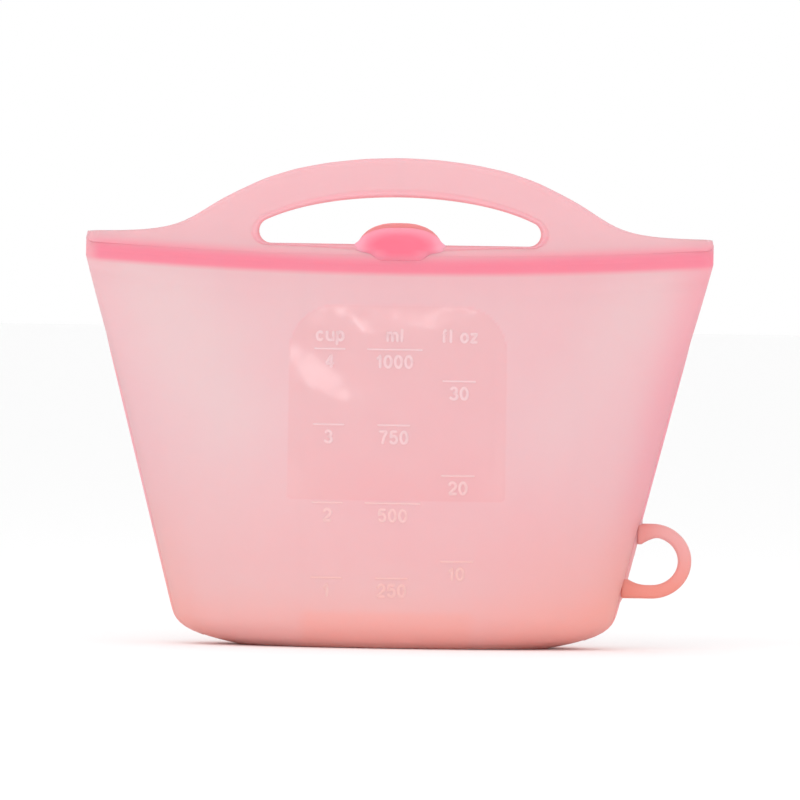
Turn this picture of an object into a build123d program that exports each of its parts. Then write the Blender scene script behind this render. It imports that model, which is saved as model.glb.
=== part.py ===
from build123d import *

import os
from math import atan, atan2, cos, degrees, pi, sin, sqrt

os.makedirs("parts", exist_ok=True)

# ---------------------------------------------------------------- driving dimensions, mm
# The bag stands on Z = 0, its front faces -Y and its centre line is X = 0.
WALL = 1.3
FLOOR = 1.8
GAP = 0.3
HALF_GAP = GAP / 2

# Outline of the side seams: half width = SIDE_START + SIDE_SLOPE * height
SIDE_START = 77.7
SIDE_SLOPE = 0.2555
SEAM_PROUD = 1.2
SEAM_HALF_THICK = 1.1
SEAM_BOTTOM = 14.0
EAR_HALF_WIDTH = 113.0
EAR_TOP = 147.9

# Soft body: height, half width, half depth, fullness (2 is an ellipse, more is boxier)
LEVELS = (
    (0.0, 56.0, 25.0, 2.0),
    (2.0, 65.2, 29.5, 2.0),
    (6.0, 74.2, 33.0, 2.0),
    (14.0, 80.1, 35.2, 2.0),
    (40.0, 86.7, 36.0, 2.0),
    (70.0, 94.4, 31.8, 2.1),
    (100.0, 102.0, 21.6, 2.2),
    (122.0, 107.7, 10.2, 2.5),
    (133.0, 110.5, 4.9, 2.9),
    (139.5, 112.1, 4.2, 3.2),
)
LEVEL_POINTS = 20
INSIDE_START = 0.9

# Press-to-close strip, which sags as a shallow arc
ZIP_MIDDLE = 137.25
ZIP_HALF_HEIGHT = 3.55
ZIP_LOW = ZIP_MIDDLE - ZIP_HALF_HEIGHT
ZIP_HIGH = ZIP_MIDDLE + ZIP_HALF_HEIGHT
ZIP_ARC = 1560.0
ZIP_OUT = 4.2
RIB_HALF_ROOT = 1.5
RIB_HALF_TIP = 0.5
RIB_REACH = 1.5
CHANNEL_HALF_MOUTH = 1.68
CHANNEL_HALF_FLOOR = 0.65
CHANNEL_REACH = 1.85

# Where the wide front and back walls part from the lower pouch
FOLD_HEIGHT = 42.0
FOLD_HALF_WIDTH = 44.0
MOUTH_HALF_WIDTH = 95.0

# Arched handle with its hand hole
HANDLE_PROFILE = (
    (0.0, 175.6),
    (26.0, 173.6),
    (49.0, 167.5),
    (62.0, 161.2),
    (72.0, 154.9),
    (80.0, 150.8),
    (95.0, 148.4),
)
SHEET_NEAR = 0.4
SHEET_THICK = 2.0
HOLE_HALF_WIDTH = 50.7
HOLE_BOTTOM = 144.4
HOLE_TOP = 161.4
HOLE_SHOULDER = 153.2
HOLE_CORNER = 3.5
BEAD_WIDTH = 2.6
BEAD_PROUD = 1.0

# Pull tabs at the middle of the mouth
TAB_HALF_WIDTH = 16.2
TAB_FRONT_TOP = 150.5
TAB_BACK_TOP = 152.2
TAB_OUT = 5.8
TAB_SKIN = 3.8
TAB_INNER = 0.5
TAB_INNER_START = 145.1
TAB_ROOT = 141.1
PAD_BOTTOM = 138.5
PAD_HALF_BOTTOM = 9.5
PAD_HALF_TOP = 14.8
PAD_TOP = 140.8

# Polished measuring window
WINDOW_HALF_WIDTH = 39.0
WINDOW_BOTTOM = 53.0
WINDOW_TOP = 122.6
WINDOW_TOP_ROUND = 17.0
WINDOW_BOTTOM_ROUND = 2.0

# Raised scale on the front wall
MARK_PROUD = 0.35
MARK_LIFT = 0.05
MARK_THICK = 0.7
LINE_PIECES = 3
LINE_SPACE = 0.05
GLYPH_HEIGHT = 4.1
GLYPH_WIDTH = 2.5
GLYPH_SPACE = 1.3
DIGIT_DROP = 4.2
CUP_CENTRE = -24.5
ML_CENTRE = -1.2
OZ_CENTRE = 22.0
HEADING_HEIGHT = 112.0
LONG_MARK = 19.6
SHORT_MARK = 11.4
ML_MARKS = ((106.8, "1000", LONG_MARK), (79.8, "750", SHORT_MARK), (52.0, "500", LONG_MARK))
CUP_MARKS = ((106.8, "4", SHORT_MARK), (79.8, "3", SHORT_MARK), (52.0, "2", SHORT_MARK))
OZ_MARKS = ((95.8, "30", SHORT_MARK), (62.1, "20", SHORT_MARK))
LOW_MARKS = ((CUP_CENTRE, 25.2, "1"), (ML_CENTRE, 25.2, "250"), (OZ_CENTRE, 31.5, "10"))

# Rounded stroke lettering: relative width, then strokes in a square cell
ZERO = ((0.3, 0), (0.7, 0), (1, 0.25), (1, 0.75), (0.7, 1), (0.3, 1), (0, 0.75), (0, 0.25), (0.3, 0))
BOWL = ((0.3, 0), (0.7, 0), (1, 0.2), (1, 0.5), (0.7, 0.7), (0.3, 0.7), (0, 0.5), (0, 0.2), (0.3, 0))
GLYPHS = {
    "0": (1.0, (ZERO,)),
    "1": (0.5, (((0, 0.75), (0.8, 1), (0.8, 0)),)),
    "2": (1.0, (((0, 0.8), (0.3, 1), (0.75, 1), (1, 0.75), (0.9, 0.5), (0, 0), (1, 0)),)),
    "3": (
        1.0,
        (
            ((0, 0.9), (0.3, 1), (0.75, 1), (0.95, 0.77), (0.7, 0.53), (0.4, 0.53)),
            ((0.7, 0.53), (1, 0.27), (0.75, 0), (0.25, 0), (0, 0.12)),
        ),
    ),
    "4": (1.0, (((0.75, 0), (0.75, 1), (0, 0.3), (1, 0.3)),)),
    "5": (1.0, (((1, 1), (0, 1), (0, 0.6), (0.7, 0.6), (1, 0.4), (1, 0.2), (0.7, 0), (0, 0)),)),
    "7": (1.0, (((0, 1), (1, 1), (0.4, 0)),)),
    "c": (0.9, (((1, 0.6), (0.7, 0.7), (0.3, 0.7), (0, 0.5), (0, 0.2), (0.3, 0), (0.7, 0), (1, 0.1)),)),
    "u": (0.9, (((0, 0.7), (0, 0.2), (0.3, 0), (0.7, 0), (1, 0.2)), ((1, 0.7), (1, 0)))),
    "p": (0.9, (BOWL, ((0, 0.7), (0, -0.35)))),
    "m": (
        1.4,
        (
            ((0, 0), (0, 0.7)),
            ((0, 0.5), (0.25, 0.7), (0.5, 0.5), (0.5, 0)),
            ((0.5, 0.5), (0.75, 0.7), (1, 0.5), (1, 0)),
        ),
    ),
    "l": (0.2, (((0.5, 0), (0.5, 1)),)),
    "f": (0.6, (((1, 1), (0.5, 0.9), (0.5, 0)), ((0, 0.65), (1, 0.65)))),
    "o": (0.9, (BOWL,)),
    "z": (0.8, (((0, 0.7), (1, 0.7), (0, 0), (1, 0)),)),
}

# Hanging ring on the right-hand seam
RING_TOP = 46.0
RING_BOTTOM = 18.3
RING_REACH = 107.0
RING_LIMB = 4.9
RING_OUTER_ROUND = 13.8
RING_INNER_ROUND = 8.9
RING_HALF_THICK = 2.0
RING_EDGE_ROUND = 1.2
RING_HINGE_OFFSET = 2.4
RING_ROOT_HALF_THICK = 2.3
RING_ROOT_MARGIN = 1.2
RING_ROOT_DEPTH = 4.0

REACH = 60.0
TALL = 200.0
FRONT, BACK = 1, -1


# ---------------------------------------------------------------- shared shapes
def side_at(height):
    """Half width of the bag's outline at a height."""
    return SIDE_START + SIDE_SLOPE * height


def closure_height(level, across):
    """Height, at a distance from the centre line, of the closure line that is at level in the middle."""
    centre = ZIP_MIDDLE + ZIP_ARC
    return centre - sqrt((centre - level) ** 2 - across**2)


def level_points(half_width, half_depth, fullness):
    """Points round one level of the soft body."""
    points = []
    for step in range(LEVEL_POINTS):
        turn = 2 * pi * step / LEVEL_POINTS
        c, s = cos(turn), sin(turn)
        x = half_width * abs(c) ** (2 / fullness) * (1 if c > 0 else -1)
        y = half_depth * abs(s) ** (2 / fullness) * (1 if s > 0 else -1)
        points.append((x, y))
    return points


def soft_body(growth, start):
    """Solid of the bag's outside, grown by growth, from the height start."""
    with BuildPart() as body:
        for height, half_width, half_depth, fullness in LEVELS:
            points = level_points(half_width + growth, half_depth + growth, fullness)
            with BuildSketch(Plane.XY.offset(max(height, start))):
                with BuildLine():
                    Spline(points, periodic=True)
                make_face()
        loft()
    return body.part


def closure_arc(level, half_span):
    """Arc of the closure line that is at level in the middle."""
    ends = closure_height(level, half_span)
    return ThreePointArc((-half_span, ends), (0, level), (half_span, ends))


def below_closure():
    """Flat face of everything under the closure's lower edge."""
    span = EAR_HALF_WIDTH + 1
    ends = closure_height(ZIP_LOW, span)
    with BuildSketch(Plane.XZ) as region:
        with BuildLine():
            closure_arc(ZIP_LOW, span)
            Polyline((-span, ends), (-span, -1), (span, -1), (span, ends))
        make_face()
    return region.sketch


def flap_face(margin):
    """Flat face of the part of the wall that opens, shrunk by margin."""
    slope = (MOUTH_HALF_WIDTH - FOLD_HALF_WIDTH) / (ZIP_MIDDLE - FOLD_HEIGHT)
    foot = FOLD_HEIGHT + margin
    inner = FOLD_HALF_WIDTH - margin
    outer = MOUTH_HALF_WIDTH - margin
    knee = foot + (outer - inner) / slope
    with BuildSketch(Plane.XZ) as region:
        with BuildLine():
            Polyline(
                (-inner, foot),
                (inner, foot),
                (outer, knee),
                (outer, TALL),
                (-outer, TALL),
                (-outer, knee),
                close=True,
            )
        make_face()
    return region.sketch


def window_face():
    """Flat face of the polished window."""
    with BuildSketch(Plane.XZ) as region:
        with Locations((0, (WINDOW_TOP + WINDOW_BOTTOM) / 2)):
            Rectangle(2 * WINDOW_HALF_WIDTH, WINDOW_TOP - WINDOW_BOTTOM)
        fillet(region.vertices().sort_by(Axis.Y)[2:], WINDOW_TOP_ROUND)
        fillet(region.vertices().sort_by(Axis.Y)[:2], WINDOW_BOTTOM_ROUND)
    return region.sketch


def hole_face():
    """Flat face of the hand hole."""
    with BuildSketch(Plane.XZ) as region:
        with BuildLine():
            Polyline(
                (-HOLE_HALF_WIDTH, HOLE_SHOULDER),
                (-HOLE_HALF_WIDTH, HOLE_BOTTOM),
                (HOLE_HALF_WIDTH, HOLE_BOTTOM),
                (HOLE_HALF_WIDTH, HOLE_SHOULDER),
            )
            ThreePointArc(
                (HOLE_HALF_WIDTH, HOLE_SHOULDER),
                (0, HOLE_TOP),
                (-HOLE_HALF_WIDTH, HOLE_SHOULDER),
            )
        make_face()
        fillet(region.vertices(), HOLE_CORNER)
    return region.sketch


def handle_face():
    """Flat face of one handle sheet, from the closure up to the arched top."""
    span = MOUTH_HALF_WIDTH - HALF_GAP
    ends = closure_height(ZIP_HIGH, span)
    left = [(-across, height) for across, height in reversed(HANDLE_PROFILE)]
    profile = left + list(HANDLE_PROFILE[1:])
    profile[0] = (-span, profile[0][1])
    profile[-1] = (span, profile[-1][1])
    with BuildSketch(Plane.XZ) as region:
        with BuildLine():
            closure_arc(ZIP_HIGH, span)
            Line((-span, ends), profile[0])
            Spline(profile)
            Line(profile[-1], (span, ends))
        make_face()
    return region.sketch


def dome_face(foot, top):
    """Flat face of a pull tab between two heights."""
    with BuildSketch(Plane.XZ) as region:
        with Locations((0, HOLE_BOTTOM)):
            Ellipse(TAB_HALF_WIDTH, top - HOLE_BOTTOM)
        with Locations((0, (HOLE_BOTTOM + PAD_BOTTOM) / 2)):
            Rectangle(2 * TAB_HALF_WIDTH, HOLE_BOTTOM - PAD_BOTTOM)
        with Locations((0, (foot + TALL) / 2)):
            Rectangle(TALL, TALL - foot, mode=Mode.INTERSECT)
    return region.sketch


def lift(sheet, side, near, far):
    """The flat face turned into a plate between two distances from the centre plane."""
    start = sheet.moved(Location((0, -side * near, 0)))
    extrude(start, amount=side * (far - near))


def sweep_closure(corners):
    """Profile swept along the closure's arc; corners are (distance back, height) in its section."""
    half_turn = (MOUTH_HALF_WIDTH - HALF_GAP) / ZIP_ARC
    centre = ZIP_MIDDLE + ZIP_ARC
    start = (-ZIP_ARC * sin(half_turn), 0, centre - ZIP_ARC * cos(half_turn))
    section = Plane(origin=start, x_dir=(0, 1, 0), z_dir=(cos(half_turn), 0, -sin(half_turn)))
    with BuildSketch(section) as profile:
        with BuildLine():
            Polyline(*corners, close=True)
        make_face()
    axis = Axis((0, 0, centre), (0, -1, 0))
    revolve(profile.sketch, axis=axis, revolution_arc=degrees(2 * half_turn))


def wall_panel(side):
    """Front or back wall above the fold."""
    add(soft_outside)
    add(soft_inside, mode=Mode.SUBTRACT)
    extrude(flap_face(HALF_GAP), amount=side * REACH, mode=Mode.INTERSECT)
    extrude(below_closure(), amount=REACH, both=True, mode=Mode.INTERSECT)


def handle_sheet(side):
    """Front or back handle sheet with its hand hole."""
    far = SHEET_NEAR + SHEET_THICK
    lift(handle_face(), side, SHEET_NEAR, far)
    extrude(hole_face(), amount=REACH, both=True, mode=Mode.SUBTRACT)


def handle_bead(side):
    """Raised rim round the hand hole."""
    near = SHEET_NEAR + SHEET_THICK
    with BuildSketch(Plane.XZ) as ring:
        add(hole_face())
        offset(amount=BEAD_WIDTH, kind=Kind.ARC)
        add(hole_face(), mode=Mode.SUBTRACT)
    lift(ring.sketch, side, near, near + BEAD_PROUD)


def pull_tab(side, top):
    """Free tongue of a pull tab."""
    lift(dome_face(TAB_ROOT, top), side, TAB_SKIN, TAB_OUT)
    lift(dome_face(TAB_INNER_START, top), side, TAB_INNER, TAB_SKIN)


def tab_pad(side):
    """Raised thumb pad where a pull tab grows out of the closure."""
    with BuildSketch(Plane.XZ) as pad:
        with BuildLine():
            Polyline(
                (-PAD_HALF_BOTTOM, PAD_BOTTOM),
                (PAD_HALF_BOTTOM, PAD_BOTTOM),
                (PAD_HALF_TOP, PAD_TOP),
                (-PAD_HALF_TOP, PAD_TOP),
                close=True,
            )
        make_face()
    lift(pad.sketch, side, ZIP_OUT, TAB_OUT)


def ear_layer(side, low, high, half_thick):
    """One layer of a mouth corner; low and high are its inner and outer heights."""
    inner = side * (MOUTH_HALF_WIDTH + HALF_GAP)
    outer = side * EAR_HALF_WIDTH
    with BuildSketch(Plane.XZ) as layer:
        with BuildLine():
            Polyline((inner, low[0]), (outer, low[1]), (outer, high[1]), (inner, high[0]), close=True)
        make_face()
    extrude(layer.sketch, amount=half_thick, both=True)


def ear(side):
    """Fused corner of the mouth; side is 1 on the right and -1 on the left."""
    spans = (MOUTH_HALF_WIDTH + HALF_GAP, EAR_HALF_WIDTH)
    foot = [closure_height(ZIP_LOW, span) for span in spans]
    crest = [closure_height(ZIP_HIGH, span) for span in spans]
    ear_layer(side, foot, crest, ZIP_OUT - HALF_GAP)
    ear_layer(side, crest, (EAR_TOP, EAR_TOP), SHEET_NEAR + SHEET_THICK)


def seam_fin(side, half_thick, low, high, depth):
    """Strip that follows the side outline, outside the soft body."""
    with BuildSketch(Plane.XZ) as strip:
        with BuildLine():
            Polyline(
                (side * side_at(low), low),
                (side * side_at(high), high),
                (side * (side_at(high) - depth), high),
                (side * (side_at(low) - depth), low),
                close=True,
            )
        make_face()
    extrude(strip.sketch, amount=half_thick, both=True)
    extrude(below_closure(), amount=REACH, both=True, mode=Mode.INTERSECT)
    add(soft_outside, mode=Mode.SUBTRACT)


def wall_plane(across, height):
    """Plane that lies on the front wall at a place, facing outwards."""
    ray = Axis((across, -REACH, height), (0, 1, 0))
    touch, outward = min(soft_outside.find_intersection_points(ray), key=lambda found: found[0].Y)
    across_wall = Vector(-outward.Y, outward.X, 0)
    return Plane(origin=touch + outward * MARK_LIFT, x_dir=across_wall, z_dir=outward)


def raise_strokes(plane, strokes):
    """Rounded strokes standing out of a plane; each stroke is a list of points in mm."""
    with BuildSketch(plane) as raised:
        for stroke in strokes:
            for (x1, y1), (x2, y2) in zip(stroke, stroke[1:]):
                length = sqrt((x2 - x1) ** 2 + (y2 - y1) ** 2)
                turn = degrees(atan2(y2 - y1, x2 - x1))
                with Locations(Location(((x1 + x2) / 2, (y1 + y2) / 2, 0), (0, 0, turn))):
                    SlotCenterToCenter(length, MARK_THICK)
    extrude(raised.sketch, amount=MARK_PROUD)


def raise_line(centre, height, length):
    """Level line on the wall, in short plates that follow its curve."""
    piece = length / LINE_PIECES
    for step in range(LINE_PIECES):
        middle = centre + (step - (LINE_PIECES - 1) / 2) * piece
        with BuildSketch(wall_plane(middle, height)) as plate:
            Rectangle(piece - LINE_SPACE, MARK_THICK)
        extrude(plate.sketch, amount=MARK_PROUD)


def raise_text(centre, height, text):
    """Characters on the wall, each on its own patch, centred on a place."""
    widths = [GLYPH_WIDTH * GLYPHS[letter][0] for letter in text]
    left = centre - (sum(widths) + GLYPH_SPACE * (len(text) - 1)) / 2
    for letter, width in zip(text, widths):
        strokes = [
            [((x - 0.5) * width, (y - 0.5) * GLYPH_HEIGHT) for x, y in stroke]
            for stroke in GLYPHS[letter][1]
        ]
        raise_strokes(wall_plane(left + width / 2, height), strokes)
        left += width + GLYPH_SPACE


def raise_scale(centre, heading, marks):
    """One column of the scale: its heading, then level lines with their numbers below."""
    raise_text(centre, HEADING_HEIGHT, heading)
    for height, label, length in marks:
        raise_line(centre, height, length)
        raise_text(centre, height - DIGIT_DROP, label)


soft_outside = soft_body(0, 0)
soft_inside = soft_body(-WALL, INSIDE_START)

# ---------------------------------------------------------------- pouch
with BuildPart() as base_floor:
    add(soft_outside)
    with BuildSketch(Plane.XY):
        Rectangle(2 * EAR_HALF_WIDTH, 2 * REACH)
    extrude(amount=FLOOR, mode=Mode.INTERSECT)

with BuildPart() as lower_wall:
    add(soft_outside)
    add(soft_inside, mode=Mode.SUBTRACT)
    with BuildSketch(Plane.XY.offset(FLOOR)):
        Rectangle(2 * EAR_HALF_WIDTH + 2, 2 * REACH)
    extrude(amount=TALL, mode=Mode.INTERSECT)
    extrude(below_closure(), amount=REACH, both=True, mode=Mode.INTERSECT)
    extrude(flap_face(-HALF_GAP), amount=REACH, both=True, mode=Mode.SUBTRACT)

seam_top = closure_height(ZIP_LOW, EAR_HALF_WIDTH)
root_low = RING_BOTTOM - RING_ROOT_MARGIN
root_high = RING_TOP + RING_ROOT_MARGIN

with BuildPart() as left_side_seam:
    seam_fin(-1, SEAM_HALF_THICK, SEAM_BOTTOM, seam_top, 2 * SEAM_PROUD)

with BuildPart() as ring_root:
    seam_fin(1, RING_ROOT_HALF_THICK, root_low, root_high, RING_ROOT_DEPTH)

with BuildPart() as right_side_seam:
    seam_fin(1, SEAM_HALF_THICK, SEAM_BOTTOM, seam_top, 2 * SEAM_PROUD)
    add(ring_root.part, mode=Mode.SUBTRACT)

with BuildPart() as left_ear:
    ear(-1)

with BuildPart() as right_ear:
    ear(1)

# ---------------------------------------------------------------- front wall and mouth
with BuildPart() as front_upper_wall:
    wall_panel(FRONT)
    extrude(window_face(), amount=REACH, mode=Mode.SUBTRACT)

with BuildPart() as front_window:
    wall_panel(FRONT)
    extrude(window_face(), amount=REACH, mode=Mode.INTERSECT)

with BuildPart() as front_zip_strip:
    sweep_closure(
        [
            (-ZIP_OUT, -ZIP_HALF_HEIGHT),
            (-HALF_GAP, -ZIP_HALF_HEIGHT),
            (-HALF_GAP, ZIP_HALF_HEIGHT),
            (-ZIP_OUT, ZIP_HALF_HEIGHT),
        ]
    )

with BuildPart() as front_zip_rib:
    sweep_closure(
        [
            (-HALF_GAP, -RIB_HALF_ROOT),
            (RIB_REACH, -RIB_HALF_TIP),
            (RIB_REACH, RIB_HALF_TIP),
            (-HALF_GAP, RIB_HALF_ROOT),
        ]
    )

with BuildPart() as front_handle:
    handle_sheet(FRONT)

with BuildPart() as front_handle_bead:
    handle_bead(FRONT)

with BuildPart() as front_tab_pad:
    tab_pad(FRONT)

with BuildPart() as front_pull_tab:
    pull_tab(FRONT, TAB_FRONT_TOP)

# ---------------------------------------------------------------- back wall and mouth
with BuildPart() as back_upper_wall:
    wall_panel(BACK)

with BuildPart() as back_zip_channel:
    sweep_closure(
        [
            (ZIP_OUT, -ZIP_HALF_HEIGHT),
            (HALF_GAP, -ZIP_HALF_HEIGHT),
            (HALF_GAP, -CHANNEL_HALF_MOUTH),
            (CHANNEL_REACH, -CHANNEL_HALF_FLOOR),
            (CHANNEL_REACH, CHANNEL_HALF_FLOOR),
            (HALF_GAP, CHANNEL_HALF_MOUTH),
            (HALF_GAP, ZIP_HALF_HEIGHT),
            (ZIP_OUT, ZIP_HALF_HEIGHT),
        ]
    )

with BuildPart() as back_handle:
    handle_sheet(BACK)

with BuildPart() as back_handle_bead:
    handle_bead(BACK)

with BuildPart() as back_tab_pad:
    tab_pad(BACK)

with BuildPart() as back_pull_tab:
    pull_tab(BACK, TAB_BACK_TOP)

# ---------------------------------------------------------------- measuring scale
with BuildPart() as cup_scale:
    raise_scale(CUP_CENTRE, "cup", CUP_MARKS)

with BuildPart() as ml_scale:
    raise_scale(ML_CENTRE, "ml", ML_MARKS)

with BuildPart() as fl_oz_scale:
    raise_scale(OZ_CENTRE, "floz", OZ_MARKS)

with BuildPart() as low_level_marks:
    for column, level, number in LOW_MARKS:
        raise_line(column, level, SHORT_MARK)
        raise_text(column, level - DIGIT_DROP, number)

# ---------------------------------------------------------------- hanging ring
seam_tilt = atan(SIDE_SLOPE)
seam_direction = (sin(seam_tilt), 0, cos(seam_tilt))


def hinge_at(height):
    """Distance of the ring's bending line from the centre line."""
    return side_at(height) + RING_HINGE_OFFSET


with BuildPart() as hang_ring:
    with BuildSketch(Plane.XZ):
        with BuildLine():
            Polyline(
                (hinge_at(RING_BOTTOM), RING_BOTTOM),
                (RING_REACH, RING_BOTTOM),
                (RING_REACH, RING_TOP),
                (hinge_at(RING_TOP), RING_TOP),
                close=True,
            )
        outline = make_face()
        fillet(outline.vertices().sort_by(Axis.X)[-2:], RING_OUTER_ROUND)
    extrude(amount=RING_HALF_THICK, both=True)
    with BuildSketch(Plane.XZ) as ring_hole:
        with Locations((RING_REACH - RING_LIMB - REACH / 2, (RING_TOP + RING_BOTTOM) / 2)):
            Rectangle(REACH, RING_TOP - RING_BOTTOM - 2 * RING_LIMB)
        fillet(ring_hole.vertices().sort_by(Axis.X)[-2:], RING_INNER_ROUND)
    extrude(amount=RING_HALF_THICK, both=True, mode=Mode.SUBTRACT)
    fillet(hang_ring.faces().filter_by(Axis.Y).edges(), RING_EDGE_ROUND)
    for middle in (RING_BOTTOM + RING_LIMB / 2, RING_TOP - RING_LIMB / 2):
        knuckle = Plane(origin=(hinge_at(middle), 0, middle), z_dir=seam_direction)
        with BuildSketch(knuckle):
            Circle(RING_HALF_THICK)
        extrude(amount=RING_LIMB / 2 - GAP, both=True)

# ---------------------------------------------------------------- export
PIECES = {
    "base_floor": base_floor,
    "lower_wall": lower_wall,
    "left_side_seam": left_side_seam,
    "right_side_seam": right_side_seam,
    "left_ear": left_ear,
    "right_ear": right_ear,
    "ring_root": ring_root,
    "hang_ring": hang_ring,
    "front_upper_wall": front_upper_wall,
    "front_window": front_window,
    "front_zip_strip": front_zip_strip,
    "front_zip_rib": front_zip_rib,
    "front_handle": front_handle,
    "front_handle_bead": front_handle_bead,
    "front_tab_pad": front_tab_pad,
    "front_pull_tab": front_pull_tab,
    "back_upper_wall": back_upper_wall,
    "back_zip_channel": back_zip_channel,
    "back_handle": back_handle,
    "back_handle_bead": back_handle_bead,
    "back_tab_pad": back_tab_pad,
    "back_pull_tab": back_pull_tab,
    "cup_scale": cup_scale,
    "ml_scale": ml_scale,
    "fl_oz_scale": fl_oz_scale,
    "low_level_marks": low_level_marks,
}
for name, piece in PIECES.items():
    piece.part.label = name
    export_step(piece.part, f"parts/{name}.step")
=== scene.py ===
"""Looks of a reusable translucent silicone bag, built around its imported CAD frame."""

import math

import bmesh
import bpy
import numpy as np
from mathutils import Matrix, Vector


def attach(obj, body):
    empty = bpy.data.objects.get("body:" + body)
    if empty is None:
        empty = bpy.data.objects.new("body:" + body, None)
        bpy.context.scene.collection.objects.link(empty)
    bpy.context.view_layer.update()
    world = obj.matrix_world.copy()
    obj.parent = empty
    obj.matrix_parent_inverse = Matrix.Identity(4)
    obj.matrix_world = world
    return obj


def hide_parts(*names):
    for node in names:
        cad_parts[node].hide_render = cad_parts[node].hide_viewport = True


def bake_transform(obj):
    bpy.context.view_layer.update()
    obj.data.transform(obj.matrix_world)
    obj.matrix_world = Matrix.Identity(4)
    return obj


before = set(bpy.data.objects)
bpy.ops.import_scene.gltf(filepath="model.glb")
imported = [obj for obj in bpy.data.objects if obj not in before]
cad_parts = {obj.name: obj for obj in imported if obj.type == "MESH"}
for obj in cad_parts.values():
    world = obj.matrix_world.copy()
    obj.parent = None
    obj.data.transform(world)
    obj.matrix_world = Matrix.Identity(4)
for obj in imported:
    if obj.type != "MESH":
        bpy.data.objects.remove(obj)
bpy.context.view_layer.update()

# ------------------------------------------------------------------ dimensions, mm
MM = 0.001
WALL = 1.3
SEAM_PROUD, SEAM_SUNK = 1.2, 0.3
SIDE_START, SIDE_SLOPE = 77.7, 0.2555
CORNER_HEIGHT, CORNER_IN, CORNER_POWER = 14.0, 20.5, 3.5
DEPTH_MOST, DEPTH_TOP = 36.0, 4.1
DEPTH_LOW, DEPTH_HIGH = 36.0, 137.0
DEPTH_CURVE, DEPTH_EASE = 1.85, 1.15
DEPTH_FOOT, DEPTH_FOOT_IN, DEPTH_CORNER_IN = 22.0, 0.8, 9.0
MOUTH_WIDER, HANDLE_THINNER = 1.2, 0.6
FULL_LOW, FULL_GAIN, FULL_MOUTH = 2.0, 1.2, 5.0
EAR_HALF, EAR_TOP, EAR_ROUND = 113.0, 147.9, 1.2
ZIP_MIDDLE, ZIP_HALF, ZIP_ARC = 137.25, 3.55, 1560.0
ZIP_OUT, ZIP_RIM = 3.3, 1.6
ZIP_LOW, ZIP_HIGH = ZIP_MIDDLE - ZIP_HALF, ZIP_MIDDLE + ZIP_HALF
HOLE_HALF, HOLE_BOTTOM, HOLE_TOP, HOLE_ROUND = 50.7, 144.4, 161.4, 4.4
SHEET_NEAR, SHEET_FAR = 0.35, 2.4
BEAD_PROUD = 0.85
TAB_MIDDLE = 144.6
WINDOW_HALF, WINDOW_LOW, WINDOW_HIGH = 39.0, 53.0, 122.6
FLOOR, FLOOR_LIFT, FLOOR_CROWN = 1.8, 0.55, 1.6
RING_CENTRE = (92.4, 31.9)
RING_RADIUS = (11.85, 11.05)
RING_LIMB, RING_HALF_THICK, ROOT_FLARE = 4.9, 1.9, 1.3
SEAM_TILT = math.atan(SIDE_SLOPE)

# A wall is made of strips from the still corners towards the middle of the mouth, strip by strip: (outer
# edge, growth per mm).
STRIPS = ((113.0, 0.0258), (64.0, 0.010), (34.0, 0.0))
OUTER, INNER, CENTRE = 0, 1, 2
OUTER_COLUMNS, INNER_COLUMNS, CENTRE_COLUMNS = 80, 34, 40

FRONT, BACK = -1, 1
RIGHT, LEFT = 1, -1


# ------------------------------------------------------------------ the bag's form
def smooth(x, low, high):
    """0 below low, 1 above high and a soft step between."""
    t = np.clip((x - low) / (high - low), 0, 1)
    return t * t * (3 - 2 * t)


def closure(level, across):
    """Height of the closure line that is at level in the middle."""
    centre = ZIP_MIDDLE + ZIP_ARC
    return centre - np.sqrt((centre - level) ** 2 - across**2)


def level(z):
    """Half width, half depth and fullness of the soft body at a height."""
    z = np.asarray(z, float)
    low = np.clip(1 - z / CORNER_HEIGHT, 0, 1)
    half_width = SIDE_START + SIDE_SLOPE * z - SEAM_PROUD - SEAM_SUNK - CORNER_IN * low**CORNER_POWER
    half_width = np.minimum(half_width + MOUTH_WIDER * smooth(z, 84, 136), EAR_HALF - 0.1)
    t = np.clip((z - DEPTH_LOW) / (DEPTH_HIGH - DEPTH_LOW), 0, 1)
    depth = DEPTH_TOP + (DEPTH_MOST - DEPTH_TOP) * (1 - t**DEPTH_CURVE) ** DEPTH_EASE
    foot = np.clip((DEPTH_LOW - z) / DEPTH_FOOT, 0, 2)
    depth = depth - DEPTH_FOOT_IN * foot**2 - DEPTH_CORNER_IN * low**3
    depth = depth - HANDLE_THINNER * smooth(z, ZIP_MIDDLE, ZIP_HIGH + 1.2)
    return half_width, depth, FULL_LOW + FULL_GAIN * t**3 + FULL_MOUTH * smooth(z, 126, 136)


def smile(height, x):
    """How far the wall's rows are raised towards the corners, to follow the closure."""
    return (closure(ZIP_LOW, x) - ZIP_LOW) * smooth(height, 90, ZIP_LOW)


def wall_y(x, z):
    """Distance of the wall's outside from the centre plane."""
    a, _, _ = level(z)
    _, b, n = level(z - smile(z, x))
    return b * (1 - np.clip(np.abs(x) / a, 0, 1) ** n) ** (1 / n)


def wall_normal(x, z):
    """Outward normal of the front wall's outside at a place."""
    e = 0.3
    dx = (wall_y(x + e, z) - wall_y(x - e, z)) / (2 * e)
    dz = (wall_y(x, z + e) - wall_y(x, z - e)) / (2 * e)
    n = np.stack([-dx, -np.ones_like(dx), -dz], -1)
    return n / np.linalg.norm(n, axis=-1, keepdims=True)


# ------------------------------------------------------------------ meshes
def grid_normals(p):
    """Normals of a grid of points, rows by columns."""
    du = np.gradient(p, axis=1)
    dv = np.gradient(p, axis=0)
    n = np.cross(du, dv)
    return n / np.maximum(np.linalg.norm(n, axis=-1, keepdims=True), 1e-9)


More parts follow.
